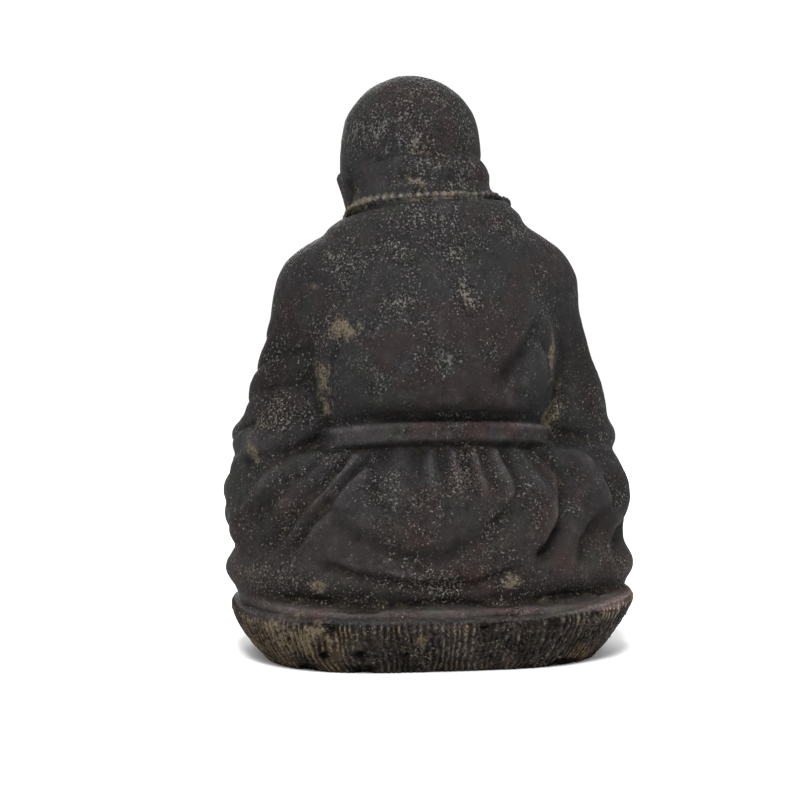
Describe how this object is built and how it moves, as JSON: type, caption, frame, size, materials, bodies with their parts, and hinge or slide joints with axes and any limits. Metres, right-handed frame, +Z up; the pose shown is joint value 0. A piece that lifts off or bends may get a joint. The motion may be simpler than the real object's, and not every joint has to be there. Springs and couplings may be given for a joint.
{
  "type": "seated monk statue",
  "caption": "Stout bald monk seated cross-legged on a low ribbed cushion, cast in dark stone as one solid that stands on its flat underside.",
  "frame": {"origin": "on the floor, under the middle of the cushion's outline at its full width", "axes": "+Z up, the monk faces -Y, +X towards the monk's own left hand"},
  "size_m": [0.2885, 0.2181, 0.4002],
  "materials": {
    "dark_stone": "worn charcoal cast stone with pale speckles, ochre dust in the creases, semi-matt"
  },
  "bodies": {
    "root": {"seated_monk": "dark_stone"}
  },
  "joints": []
}
